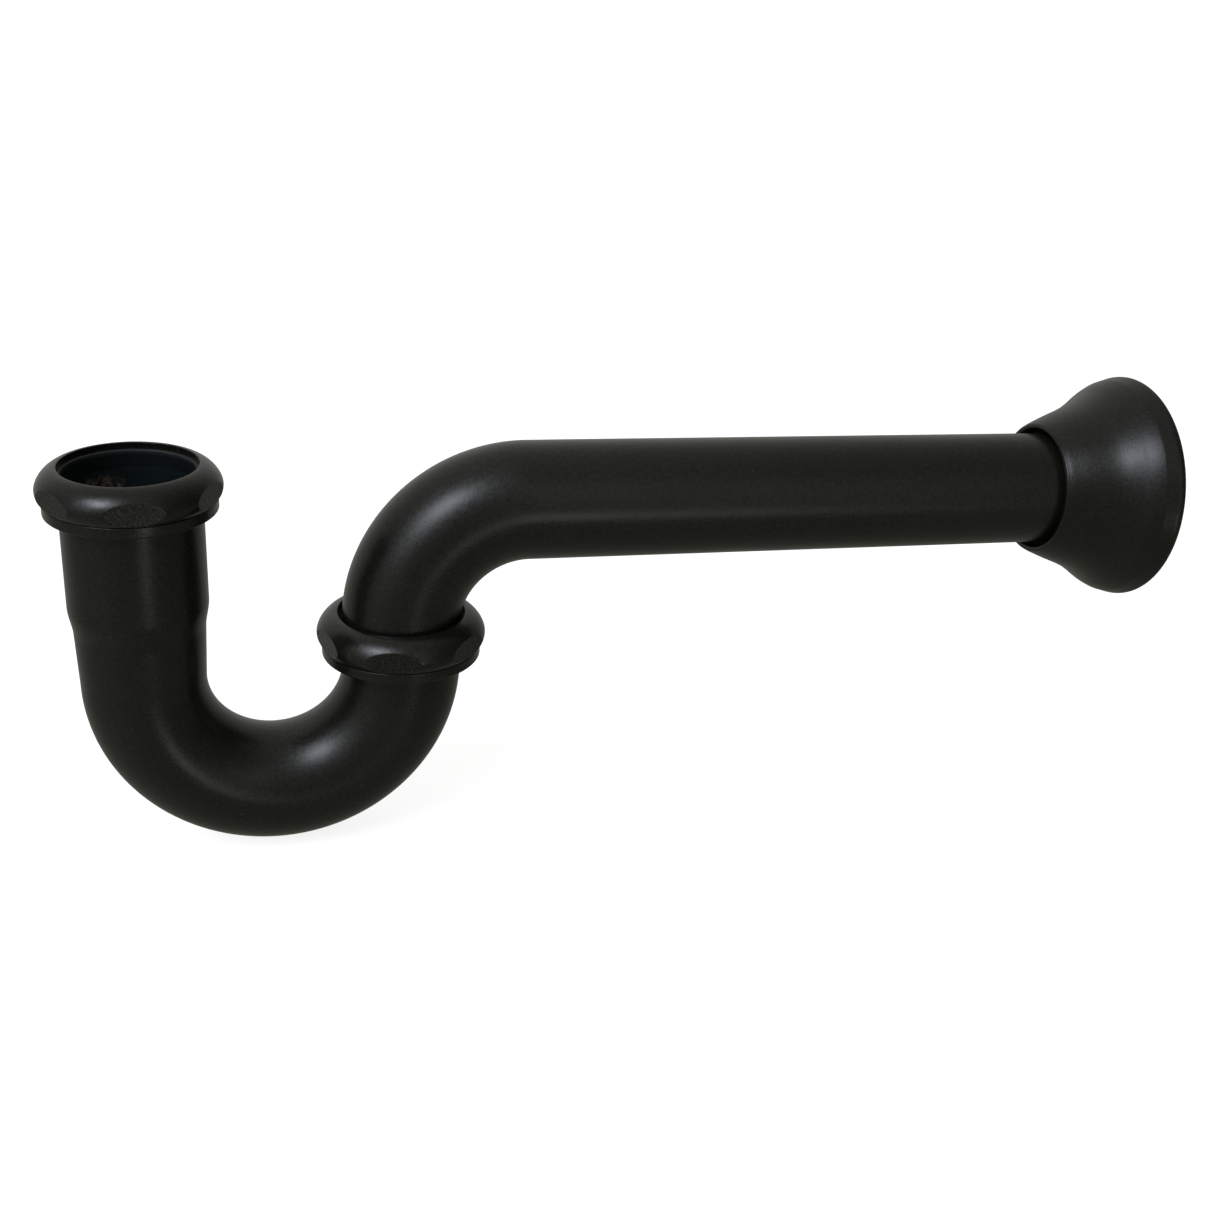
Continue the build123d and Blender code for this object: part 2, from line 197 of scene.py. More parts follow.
def wall_path(s):
    s = np.asarray(s, float)
    a = np.clip((s - LOW) / WB_R, 0, WB_ANGLE)
    e = np.stack([-np.cos(a), 0 * a, np.sin(a)], -1)
    c = np.array([OUT_X + WB_R, 0, WB_START]) + WB_R * e
    c[:, 2] += np.where(s < LOW, s - LOW, 0)
    c += np.where(s > LOW + WB_R * WB_ANGLE, s - LOW - WB_R * WB_ANGLE, 0)[:, None] * DIR
    return c, e


def skin(name, loop, path, side, nt, sharp=24.0, attrs=None):
    """Carries an outline (radius, distance along) round a straight or bent axis."""
    c, e = path(loop[:, 1])
    th = np.arange(nt) * 2 * math.pi / nt
    r = loop[:, 0][None, :, None]
    P = c[None] + r * (np.cos(th)[:, None, None] * e[None] + np.sin(th)[:, None, None] * np.array(side)[None, None])
    return grid_mesh(name, P, sharp, attrs)


# ================================================================ nodes
class Tree:
    def __init__(self, tree):
        self.t = tree
        self.t.nodes.clear()

    def node(self, kind, **kw):
        n = self.t.nodes.new(kind)
        for k, v in kw.items():
            setattr(n, k, v)
        return n

    def set(self, socket, value):
        if isinstance(value, bpy.types.NodeSocket):
            self.t.links.new(value, socket)
        elif isinstance(value, (tuple, list)) and len(value) == 3 and socket.type == "RGBA":
            socket.default_value = (*value, 1.0)
        else:
            socket.default_value = value

    def math(self, op, a, b=0.0, c=None, clamp=False):
        n = self.node("ShaderNodeMath", operation=op, use_clamp=clamp)
        self.set(n.inputs[0], a)
        self.set(n.inputs[1], b)
        if c is not None:
            self.set(n.inputs[2], c)
        return n.outputs[0]

    def vec(self, op, a, b=None, scale=None):
        n = self.node("ShaderNodeVectorMath", operation=op)
        self.set(n.inputs[0], a)
        if b is not None:
            self.set(n.inputs[1], b)
        if scale is not None:
            self.set(n.inputs["Scale"], scale)
        return n.outputs["Value"] if op in ("DOT_PRODUCT", "LENGTH", "DISTANCE") else n.outputs["Vector"]

    def ramp(self, x, a, b, c=0.0, d=1.0, smooth=True):
        n = self.node("ShaderNodeMapRange", interpolation_type="SMOOTHSTEP" if smooth else "LINEAR")
        self.set(n.inputs["Value"], x)
        for key, val in zip(("From Min", "From Max", "To Min", "To Max"), (a, b, c, d)):
            self.set(n.inputs[key], val)
        return n.outputs["Result"]

    def mix(self, f, a, b):
        n = self.node("ShaderNodeMix", data_type="RGBA")
        self.set(n.inputs["Factor"], f)
        self.set(n.inputs["A"] if False else n.inputs[6], a)
        self.set(n.inputs[7], b)
        return n.outputs[2]

    def noise(self, co, scale, detail=2.0, rough=0.5, distortion=0.0):
        n = self.node("ShaderNodeTexNoise", noise_dimensions="3D")
        self.set(n.inputs["Vector"], co)
        for key, val in (("Scale", scale), ("Detail", detail), ("Roughness", rough), ("Distortion", distortion)):
            self.set(n.inputs[key], val)
        return n.outputs["Fac"] if "Fac" in n.outputs else n.outputs[0]

    def voronoi(self, co, scale, feature="F1"):
        n = self.node("ShaderNodeTexVoronoi", feature=feature)
        self.set(n.inputs["Vector"], co)
        self.set(n.inputs["Scale"], scale)
        return n.outputs["Distance"], n.outputs["Color"]

    def attr(self, name):
        return self.node("ShaderNodeAttribute", attribute_name=name).outputs["Fac"]

    def bump(self, height, distance, strength=1.0, normal=None):
        n = self.node("ShaderNodeBump")
        self.set(n.inputs["Height"], height)
        self.set(n.inputs["Distance"], distance)
        self.set(n.inputs["Strength"], strength)
        if normal is not None:
            self.set(n.inputs["Normal"], normal)
        return n.outputs["Normal"]


def material(name):
    m = bpy.data.materials.new(name)
    m.use_nodes = True
    t = Tree(m.node_tree)
    co = t.node("ShaderNodeTexCoord").outputs["Object"]
    p = t.node("ShaderNodeBsdfPrincipled")
    out = t.node("ShaderNodeOutputMaterial")
    t.t.links.new(p.outputs[0], out.inputs["Surface"])
    return m, t, co, p


def surface(t, p, colour, rough, normal, metallic=0.0, spec=0.5):
    t.set(p.inputs["Base Color"], colour)
    t.set(p.inputs["Roughness"], rough)
    t.set(p.inputs["Metallic"], metallic)
    t.set(p.inputs["Specular IOR Level"], spec)
    if normal is not None:
        t.set(p.inputs["Normal"], normal)


COAT = (0.0105, 0.0108, 0.0080)
COAT_SPEC = 0.55


def specks(t, co, scale, size, share):
    """Sparse dust: a mask that is 1 on small irregular dots."""
    d, c = t.voronoi(co, scale)
    pick = t.node("ShaderNodeSeparateColor")
    t.set(pick.inputs[0], c)
    near = t.ramp(d, size * 0.55, size, 1.0, 0.0)
    return t.math("MULTIPLY", near, t.math("LESS_THAN", pick.outputs[0], share))


def coated(name, grain, grain_amp, peel_amp, mott_amp, rough, inner=None, flats=False, rings=False, rubbed=None):
    """Satin black powder coat on brass. grain in cells per metre; amplitudes in mm."""
    m, t, co, p = material(name)
    fine = t.noise(co, grain, 3.0, 0.6)
    peel = t.noise(co, 420.0, 2.0, 0.5)
    broad = t.noise(co, 38.0, 3.0, 0.55)
    cloud = t.noise(co, 11.0, 2.0, 0.5)
    mott = t.noise(co, 950.0, 3.0, 0.65)
    n = t.bump(peel, peel_amp / 1000.0)
    n = t.bump(mott, mott_amp / 1000.0, 1.0, n)
    n = t.bump(fine, grain_amp / 1000.0, 1.0, n)
    # handling marks: faint long scuffs that only change the gloss
    stretch = t.node("ShaderNodeMapping")
    t.set(stretch.inputs["Vector"], co)
    stretch.inputs["Scale"].default_value = (0.10, 1.0, 1.0)
    stretch.inputs["Rotation"].default_value = (0.3, 0.2, 0.5)
    scuff = t.ramp(t.noise(stretch.outputs[0], 900.0, 2.0, 0.7), 0.66, 0.74)
    r = t.math("ADD", rough, t.math("MULTIPLY", t.math("SUBTRACT", broad, 0.5), 0.16))
    r = t.math("ADD", r, t.math("MULTIPLY", t.math("SUBTRACT", mott, 0.5), 0.16))
    r = t.math("ADD", r, t.math("MULTIPLY", t.math("SUBTRACT", fine, 0.5), 0.10))
    r = t.math("SUBTRACT", r, t.math("MULTIPLY", scuff, 0.035))
    tone = t.math("ADD", 0.30, t.math("ADD", t.math("MULTIPLY", cloud, 0.40), t.math("ADD", t.math("MULTIPLY", mott, 0.70), t.math("MULTIPLY", fine, 0.30))))
    col = t.vec("SCALE", COAT, scale=tone)
    # warm where the coat is thin on edges
    spec = t.math("MULTIPLY", COAT_SPEC, t.math("ADD", t.ramp(mott, 0.30, 0.70, 0.80, 1.12), t.math("MULTIPLY", fine, 0.14)))
    geo = t.node("ShaderNodeNewGeometry")
    edge = t.ramp(geo.outputs["Pointiness"], 0.53, 0.60)
    edge = t.math("MULTIPLY", edge, t.ramp(t.noise(co, 260.0, 2.0, 0.6), 0.42, 0.66))
    col = t.mix(t.math("MULTIPLY", edge, 0.55), col, (0.034, 0.030, 0.022))
    if flats:
        f = t.attr("flat")
        cast = t.noise(co, 1150.0, 3.0, 0.68)
        cell, _ = t.voronoi(co, 1250.0)
        rough_cast = t.math("ADD", t.math("MULTIPLY", cast, 0.8), t.math("MULTIPLY", cell, 0.35))
        n2 = t.node("ShaderNodeBump")
        t.set(n2.inputs["Height"], rough_cast)
        t.set(n2.inputs["Distance"], 0.00012)
        t.set(n2.inputs["Strength"], t.math("ADD", 0.05, t.math("MULTIPLY", f, 0.95)))
        t.set(n2.inputs["Normal"], n)
        n = n2.outputs["Normal"]
        r = t.math("ADD", r, t.math("MULTIPLY", f, 0.05))
        spec = t.math("MULTIPLY", spec, t.math("ADD", 1.0, t.math("MULTIPLY", f, t.ramp(rough_cast, 0.42, 0.78, -0.16, 0.28))))
        # the rough skin of the casting, painted into the colour: pale flecks are a painted highlight on raised
        # grains, dark flecks a painted shade in the pits
        grain_shading_noise = t.noise(co, 1500.0, 2.0, 0.62)
        col = t.mix(t.math("MULTIPLY", t.ramp(grain_shading_noise, 0.48, 0.62), f), col, (0.019, 0.0186, 0.0145))
        # painted shade in the pits: darker colour and a little less gloss there
        pit_shade = t.math("MULTIPLY", t.ramp(grain_shading_noise, 0.50, 0.38), f)
        col = t.mix(t.math("MULTIPLY", pit_shade, 0.6), col, (0.002, 0.002, 0.002))
        spec = t.math("MULTIPLY", spec, t.math("SUBTRACT", 1.0, t.math("MULTIPLY", pit_shade, 0.18)))
    if rings:
        spec = t.math("MULTIPLY", spec, 0.86)
        turn = t.noise(t.vec("MULTIPLY", co, (1.0, 0.02, 0.02)), 1700.0, 1.0, 0.5)
        n = t.bump(turn, 0.000012, 1.0, n)
    s = specks(t, co, 230.0, 0.075, 0.16)
    s2 = specks(t, co, 700.0, 0.10, 0.05)
    s = t.math("MAXIMUM", t.math("MULTIPLY", s, 0.8), t.math("MULTIPLY", s2, 0.45))
    col = t.mix(t.math("MULTIPLY", s, 0.5), col, (0.13, 0.125, 0.11))
    r = t.math("ADD", r, t.math("MULTIPLY", s, 0.25), clamp=True)
    if inner is None:
        surface(t, p, col, r, n, 0.0, spec)
        return m
    # bare brass inside the tube, with black overspray that thins out away from the open end
    inside = t.attr("inner")
    # inside the tube the black turns blue-green: a painted reflection of the pale light from above, not the coat's
    # own colour
    col = t.mix(inside, col, (0.0105, 0.0165, 0.0182))
    if rubbed is not None:
        col = t.mix(t.math("MULTIPLY", inside, rubbed(t, co)), col, t.mix(t.noise(co, 1500.0, 3.0, 0.7), (0.014, 0.012, 0.010), (0.27, 0.215, 0.155)))
    r = t.math("ADD", r, t.math("MULTIPLY", inside, 0.14))
    bare = t.math("MULTIPLY", inside, inner(t, co))
    blotch = t.noise(co, 300.0, 4.0, 0.62)
    stain = t.noise(co, 90.0, 3.0, 0.6)
    brass = t.mix(t.ramp(blotch, 0.35, 0.7), (0.19, 0.120, 0.045), (0.44, 0.30, 0.13))
    brass = t.mix(t.ramp(stain, 0.45, 0.75), brass, (0.085, 0.058, 0.034))
    col = t.mix(bare, col, brass)
    r = t.math("ADD", t.math("MULTIPLY", r, t.math("SUBTRACT", 1.0, bare)),
               t.math("MULTIPLY", bare, t.math("ADD", 0.34, t.math("MULTIPLY", blotch, 0.2))))
    surface(t, p, col, r, n, t.math("MULTIPLY", bare, 0.9), t.math("MULTIPLY", spec, t.math("SUBTRACT", 1.0, t.math("MULTIPLY", inside, 0.45))))
    return m


def trap_patch(t, co):
    """A rubbed, mottled patch on the cup's wall, where the black is thin."""
    blot = t.noise(co, 240.0, 3.0, 0.65)
    ragged = t.noise(co, 520.0, 3.0, 0.7)
    d = t.vec("DISTANCE", t.vec("MULTIPLY", co, (0.8, 1.0, 1.0)), (-0.0084, 0.0164, -0.0114))
    d = t.math("ADD", d, t.math("ADD", t.math("MULTIPLY", blot, 0.006), t.math("MULTIPLY", ragged, 0.006)))
    patch = t.ramp(d, 0.0160, 0.0132)
    x = t.node("ShaderNodeSeparateXYZ")
    t.set(x.inputs[0], co)
    patch = t.math("MULTIPLY", patch, t.ramp(t.math("ADD", x.outputs[0], t.math("MULTIPLY", ragged, 0.004)), -0.0117, -0.0103))
    return t.math("MULTIPLY", patch, t.ramp(t.noise(co, 700.0, 4.0, 0.75), 0.44, 0.56, 0.06, 1.0))


def trap_bare(t, co):
    """Share of bare brass inside the trap bend: none in the cup, all of it past the swage."""
    x = t.node("ShaderNodeSeparateXYZ")
    t.set(x.inputs[0], co)
    blot = t.noise(co, 240.0, 3.0, 0.65)
    deep = t.ramp(t.math("ADD", x.outputs[2], t.math("MULTIPLY", blot, 0.030)), -0.018, -0.046)
    out = deep
    far = t.ramp(x.outputs[0], 0.030, 0.050)
    return t.math("MAXIMUM", out, far)


def wall_bare(t, co):
    x = t.node("ShaderNodeSeparateXYZ")
    t.set(x.inputs[0], co)
    blot = t.noise(co, 240.0, 3.0, 0.65)
    return t.ramp(t.math("ADD", x.outputs[0], t.math("MULTIPLY", blot, 0.012)), 0.338, 0.326)


def brass_mat(name, sprayed=False):
    """Turned brass, a little tarnished; where it was sprayed, black but for worn spots."""
    m, t, co, p = material(name)
    fine = t.noise(co, 2600.0, 3.0, 0.6)
    stain = t.noise(co, 130.0, 4.0, 0.6)
    turn = t.noise(t.vec("MULTIPLY", co, (0.05, 0.05, 1.0)), 5200.0, 1.0, 0.5)
    n = t.bump(turn, 0.00002)
    n = t.bump(fine, 0.00004, 1.0, n)
    col = t.mix(t.ramp(stain, 0.35, 0.65), (0.60, 0.41, 0.17), (0.42, 0.27, 0.10))
    col = t.mix(t.ramp(t.noise(co, 520.0, 3.0, 0.6), 0.58, 0.72), col, (0.16, 0.10, 0.05))
    r = t.math("ADD", 0.26, t.math("MULTIPLY", stain, 0.22))
    metal = 1.0
    if sprayed:
        bare = t.math("MULTIPLY", t.ramp(t.noise(co, 700.0, 3.0, 0.65), 0.64, 0.70), 0.35)
        col = t.mix(bare, (0.0060, 0.0062, 0.0050), col)
        metal = bare
        r = t.math("ADD", r, 0.2)
    surface(t, p, col, r, n, metal, 0.3 if sprayed else 0.5)
    return m


def rubber_mat():
    m, t, co, p = material("rubber")
    fine = t.noise(co, 3000.0, 3.0, 0.6)
    broad = t.noise(co, 160.0, 3.0, 0.55)
    n = t.bump(fine, 0.00006)
    tone = t.math("ADD", 0.7, t.math("MULTIPLY", broad, 0.6))
    # the rubber's near-black tone is partly its own black and partly painted shade of the hollows it sits in; its
    # teal tint is a painted reflection
    col = t.vec("SCALE", (0.0046, 0.0078, 0.0086), scale=tone)
    col = t.mix(t.math("MULTIPLY", specks(t, co, 900.0, 0.16, 0.10), 0.25), col, (0.05, 0.05, 0.047))
    surface(t, p, col, t.math("ADD", 0.58, t.math("MULTIPLY", fine, 0.18)), n, 0.0, 0.22)
    return m


def plastic_mat(name, dark=1.0):
    m, t, co, p = material(name)
    fine = t.noise(co, 2400.0, 2.0, 0.5)
    broad = t.noise(co, 210.0, 3.0, 0.55)
    n = t.bump(fine, 0.00003)
    col = t.mix(broad, (0.036, 0.038, 0.040), (0.052, 0.054, 0.056))
    col = t.mix(t.math("MULTIPLY", specks(t, co, 800.0, 0.16, 0.14), 0.6), col, (0.016, 0.016, 0.015))
    col = t.vec("SCALE", col, scale=dark)
    surface(t, p, col, t.math("ADD", 0.38, t.math("MULTIPLY", broad, 0.16)), n, 0.0, 0.45 * math.sqrt(dark))
    p.inputs["Subsurface Weight"].default_value = 0.08
    p.inputs["Subsurface Radius"].default_value = (0.001, 0.001, 0.001)
    return m


MAT = {
    "trap_tube": coated("coated_tube", 3400.0, 0.012, 0.020, 0.018, 0.275, trap_bare, rubbed=trap_patch),
    "wall_tube": coated("coated_tube_wall", 3400.0, 0.010, 0.020, 0.014, 0.275, wall_bare),
    "casting": coated("coated_casting", 3000.0, 0.018, 0.030, 0.030, 0.225, flats=True),
    "spinning": coated("coated_spinning", 3400.0, 0.010, 0.018, 0.016, 0.285, rings=True),
    "brass": brass_mat("brass"),
    "brass_sprayed": brass_mat("brass_sprayed", True),
    "rubber": rubber_mat(),
    "ring_plastic": plastic_mat("ring_plastic"),
    "ring_black": plastic_mat("ring_plastic_black", 0.15),
}


def finish_piece(ob, node, body, mat):
    ob.data.materials.clear()
    ob.data.materials.append(MAT[mat])
    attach(ob, body)
    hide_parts(node)
    return ob


# ================================================================ tubes
def s_curve(ra, sa, rb, sb, n=18):
    """Swage outline: square to the axis at the cup, easing on at the taper's lean at its foot."""
    lean = 0.67 / 17.44 * abs(sb - sa)
    w = np.linspace(0, 1, n + 1)[1:-1]
    if sb > sa:
        return [(ra + (rb - ra) * (3 * x * x - 2 * x**3) - lean * (x**3 - x * x), sa + (sb - sa) * x, 0) for x in w]
    return [(rb + (ra - rb) * (3 * x * x - 2 * x**3) - lean * (x**3 - x * x), sb + (sa - sb) * x, 0) for x in w[::-1]]


SW0, SW1 = CUP_DEPTH, CUP_DEPTH + SWAGE_L
L_TRAP = DROP + math.pi * J_R + (UNION_SEAT + DROP)
loop = [(CUP_IR, 0, 0.12), (CUP_OR, 0, 0.28), (CUP_OR, 7.2, 0.3), (BODY_R, 8.4, 0.3), (BODY_R, SW0, 0)]
loop += s_curve(BODY_R, SW0, FOOT_R, SW1) + [
    (FOOT_R, SW1, 0), (TUBE_R, DROP, 0), (TUBE_R, DROP + math.pi * J_R, 0), (TUBE_R, L_TRAP, 0.20),
    (BORE_R, L_TRAP, 0.20), (BORE_R, DROP + math.pi * J_R, 0), (BORE_R, DROP, 0), (FOOT_IR, SW1, 0)
] + s_curve(FOOT_IR, SW1, CUP_IR, SW0) + [(CUP_IR, SW0, 0)]
pts = rounded(loop, 1.4)
bore = BORE_R + 0.25
inner = (pts[:, 0] < np.interp(pts[:, 1], [0, SW0, SW1, DROP], [CUP_IR + 0.2, CUP_IR + 0.6, FOOT_IR + 0.6, bore])).astype(float)
ob = skin("trap_bend_tube_skin", pts, trap_path, (0, 1, 0), 224, 20.0, {"inner": inner[None, :]})
finish_piece(ob, "trap_bend_tube", "trap_bend", "trap_tube")

ARM_S = LOW + WB_R * WB_ANGLE
ARM_L = ARM_TO_MOUTH + FL_L - TUBE_SHORT
L_WALL = ARM_S + ARM_L
G1 = L_WALL - END_FIT
G0 = G1 - 0.8
loop = [(BORE_R, 0, 0.15), (TUBE_R, 0, 0.15), (TUBE_R, LOW, 0), (TUBE_R, ARM_S, 0), (TUBE_R, G0, 0.10), (TUBE_R - 0.3, G0, 0.12),
        (TUBE_R - 0.3, G1, 0.12), (TUBE_R, G1, 0.10), (TUBE_R, L_WALL, 0.30), (BORE_R, L_WALL, 0.15),
        (BORE_R, ARM_S, 0), (BORE_R, LOW, 0)]
pts = rounded(loop, 1.4)
inner = (pts[:, 0] < BORE_R + 0.3).astype(float)
ob = skin("wall_bend_tube_skin", pts, wall_path, (0, 1, 0), 224, 20.0, {"inner": inner[None, :]})
finish_piece(ob, "wall_bend_tube", "wall_arm", "wall_tube")


# ================================================================ slip nuts
def nut(name, z0, turn, x0):
    low = [(25.05, 0.00, 0)]
    outer = [(24.10, 0.0), (25.02, 0.0)]
    a = np.linspace(0, math.pi / 2, 6)[1:]
    outer += [(25.02 + 0.45 * math.sin(x), 0.45 - 0.45 * math.cos(x)) for x in a]
    outer += [(25.47, 0.45 + (3.20 - 0.45) * k / 11) for k in range(1, 12)]
    outer += [(25.455, 3.29), (25.40, 3.365), (25.32, 3.405), (25.18, 3.43), (25.09, 3.455), (25.05, 3.50),
              (25.05, 3.60), (25.09, 3.655), (25.18, 3.69), (25.40, 3.74), (25.60, 3.785)]
    up = spline([(25.73, 3.82), (26.55, 5.05), (27.07, 7.45)], (0.7, 1), (0, 1), 28)
    outer += [tuple(q) for q in up]
    m = 400
    aa = np.linspace(0, math.pi / 2, m)
    se = np.stack([20.6 + 6.47 * np.cos(aa) ** 1.2, 7.45 + 6.70 * np.sin(aa) ** 1.2], -1)
    ln = np.concatenate([[0], np.cumsum(np.linalg.norm(np.diff(se, axis=0), axis=1))])
    want = np.linspace(0, ln[-1], 74)[1:]
    outer += list(zip(np.interp(want, ln, se[:, 0]), np.interp(want, ln, se[:, 1])))
    outer += [(20.6 - 0.25 * math.sin(x), 13.90 + 0.25 * math.cos(x)) for x in np.linspace(0, math.pi / 2, 7)[1:]]
    hole = [(20.35, 13.90 - 0.34 * k) for k in range(1, 5)] + [(20.35, 12.20), (20.37, 12.12), (20.42, 12.07), (20.50, 12.05)]
    hole += [(20.50 + 0.42 * k, 12.05) for k in range(1, 5)] + [(22.46, 12.05), (22.56, 12.01), (22.60, 11.91)]
    hole += [(22.60, 11.91 - 0.37 * k) for k in range(1, 8)] + [(22.60, 8.95)]
    zs = np.linspace(8.95, 0.0, 92)[1:-1]
    base = np.interp(zs, [0, 1.25, 6.85, 7.35, 8.55, 8.95], [24.10, 22.60, 22.60, 23.90, 23.90, 22.60])
    prof = np.array([q[:2] for q in outer + hole] + list(zip(base, zs)))
    no = len(outer)
    nt = 720
    th = (np.arange(nt) + 0.5) * 2 * math.pi / nt
    R = np.broadcast_to(prof[:, 0][None, :], (nt, len(prof))).copy()
    Z = np.broadcast_to(prof[:, 1][None, :], (nt, len(prof))).copy()
    # six flats, with the small radius a casting has along their edges
    off = (th - math.radians(-90 + turn) + math.pi / 6) % (math.pi / 3) - math.pi / 6
    plane = (NUT_FLAT / np.cos(off))[:, None]
    ro = R[:, :no].copy()
    h = np.clip(0.08 - np.abs(ro - plane), 0, None) / 0.08
    R[:, :no] = np.minimum(ro, plane) - h * h * 0.08 / 4
    flat = np.zeros_like(R)
    flat[:, :no] = np.clip((ro - plane) / 0.10, 0, 1)
    # the thread inside
    k = slice(len(outer) + len(hole), len(prof))
    zz = Z[:, k]
    ph = zz - NUT_SEAT - PITCH * (th[:, None] / (2 * math.pi))
    d = np.abs((ph + PITCH / 2) % PITCH - PITCH / 2)
    thread = np.clip(M_ROOT + (0.80 + 0.13 - d) / 0.5, F_MINOR, F_MAJOR)
    thread = np.where(zz > 0.25, thread, 0)
    R[:, k] = np.maximum(R[:, k], thread)
    P = np.stack([x0 + R * np.cos(th)[:, None], R * np.sin(th)[:, None], z0 + Z], -1)
    return grid_mesh(name, P, 34.0, {"flat": flat})


ob = nut("inlet_slip_nut_skin", -NUT_SEAT, 2.7, 0.0)
finish_piece(ob, "inlet_slip_nut", "inlet_nut", "casting")
ob = nut("union_nut_skin", UNION_BOTTOM, -14.0, OUT_X)
finish_piece(ob, "union_nut", "union_nut_body", "casting")

# ================================================================ bell flange
FL_INNER = [(0.8, 22.62), (3.5, 24.03), (7.0, 25.54), (14.0, 28.33), (21.0, 32.43), (28.0, 36.97), (33.1, 38.52)]
FL_PROFILE = [(0.8, 22.72), (3.5, 24.03), (7.0, 25.52), (14.0, 28.31), (17.5, 30.04), (21.0, 32.26), (23.0, 33.64),
              (24.0, 34.42), (25.0, 35.15), (26.0, 35.81), (28.0, 36.95), (28.7, 37.31)]
RIM_R, RIM_Z = 38.52, 33.1
BAND = (32.6, 38.42)
hole_r = 22.30 - FL_T
mid_r = hole_r + FL_T * 0.52
n_in = []
for i in range(1, len(FL_INNER) - 1):
    (za, ra), (z, r), (zc, rc) = FL_INNER[i - 1:i + 2]
    s = math.hypot(zc - za, rc - ra)
    n_in.append((r - FL_T * (zc - za) / s, z + FL_T * (rc - ra) / s))
# rolled lip at the mouth: the arc through its three points
ax, ay, bx, by, cx, cy = hole_r, 0.8, mid_r, 0.0, FL_PROFILE[0][1], 0.8
D = 2 * (ax * (by - cy) + bx * (cy - ay) + cx * (ay - by))
ux = ((ax**2 + ay**2) * (by - cy) + (bx**2 + by**2) * (cy - ay) + (cx**2 + cy**2) * (ay - by)) / D
uy = ((ax**2 + ay**2) * (cx - bx) + (bx**2 + by**2) * (ax - cx) + (cx**2 + cy**2) * (bx - ax)) / D
rad = math.hypot(ax - ux, ay - uy)
a0, a1 = math.atan2(ay - uy, ax - ux), math.atan2(cy - uy, cx - ux)
if a0 > 0:
    a0 -= 2 * math.pi
if a1 > 0:
    a1 -= 2 * math.pi
lip = [(ux + rad * math.cos(x), uy + rad * math.sin(x)) for x in np.linspace(a0, a1, 15)]
out1 = spline([(r, z) for z, r in FL_PROFILE], (0.62, 1.0), (0.51, 1), 84)[1:-1]
band = [(37.31 + (BAND[1] - 37.31) * k / 8, 28.7 + (BAND[0] - 28.7) * k / 8) for k in range(9)]
crease = [(37.225, 28.54), (37.268, 28.63)]
out1 = [q for q in out1 if q[1] < 28.45] + crease + [(37.298, 28.71), (37.333, 28.81)] + band[1:]
out2 = spline([(BAND[1], BAND[0]), (38.55, 34.0), (38.05, 35.2), (RIM_R - 1.35, FL_L)], (0.272, 1), (-1, 0), 18)[1:]
flat_back = [(RIM_R - 1.35 - 1.3 * k / 4, FL_L) for k in range(1, 5)]
b = spline([(RIM_R - 2.65, FL_L), (RIM_R - 2.3, FL_L - 1.6), (RIM_R - 2.6, FL_L - 3.6)] + n_in[::-1]
           + [(hole_r + 0.42, 2.2), (hole_r, 0.8)], (0.1, -1.0), (0, -1), 72)[1:-1]
pts = np.array(list(lip) + [tuple(q) for q in out1] + [tuple(q) for q in out2] + flat_back + [tuple(q) for q in b])
f, side = axis_frame(MOUTH, DIR, ARM_UP)
ob = skin("bell_flange_skin", pts, f, side, 320, 30.0)
finish_piece(ob, "bell_flange", "wall_flange", "spinning")

# ================================================================ rings in the joints
lip_under = -NUT_SEAT + NUT_H - 2.10
fr1 = lip_under - 0.05
fr0 = fr1 - 0.80
f, side = axis_frame((0, 0, 0), (0, 0, 1))
pts = rounded([(19.50, fr0, 0.14), (22.30, fr0, 0.08), (22.30, fr1, 0.08), (19.50, fr1, 0.26)], 0.35, 12)
ob = skin("inlet_friction_ring_skin", pts, f, side, 256, 30.0)
finish_piece(ob, "inlet_friction_ring", "inlet_ring", "ring_plastic")
pts = rounded([(19.27, 0.05, 0.22), (22.30, 0.05, 0.32), (22.30, fr0 - 0.05, 0.22), (19.27, fr0 - 0.05, 0.27)], 0.45, 12)
ob = skin("inlet_slip_washer_skin", pts, f, side, 256, 30.0)
finish_piece(ob, "inlet_slip_washer", "trap_bend", "rubber")

f, side = axis_frame((OUT_X, 0, 0), (0, 0, 1))
g0 = UNION_SEAT + 0.05
pts = rounded([(BORE_R, g0, 0.2), (22.30, g0, 0.25), (22.30, g0 + 2.10, 0.25), (BORE_R, g0 + 2.10, 0.2)], 0.45, 12)
ob = skin("outlet_gasket_skin", pts, f, side, 256, 30.0)
finish_piece(ob, "outlet_gasket", "trap_bend", "rubber")
pts = rounded([(19.065, C0, 0.1), (22.30, C0, 0.2), (22.30, C0 + 2.0, 0.3), (19.065, C0 + 2.0, 0.15)], 0.45, 12)
ob = skin("wall_bend_collar_skin", pts, f, side, 256, 30.0)
finish_piece(ob, "wall_bend_collar", "wall_arm", "brass_sprayed")
u1 = UNION_BOTTOM + NUT_H - 2.10 - 0.05
pts = rounded([(19.85, u1 - 0.8, 0.08), (22.30, u1 - 0.8, 0.08), (22.30, u1, 0.08), (19.85, u1, 0.12)], 0.35, 12)
ob = skin("union_friction_ring_skin", pts, f, side, 256, 30.0)
finish_piece(ob, "union_friction_ring", "union_ring", "ring_black")

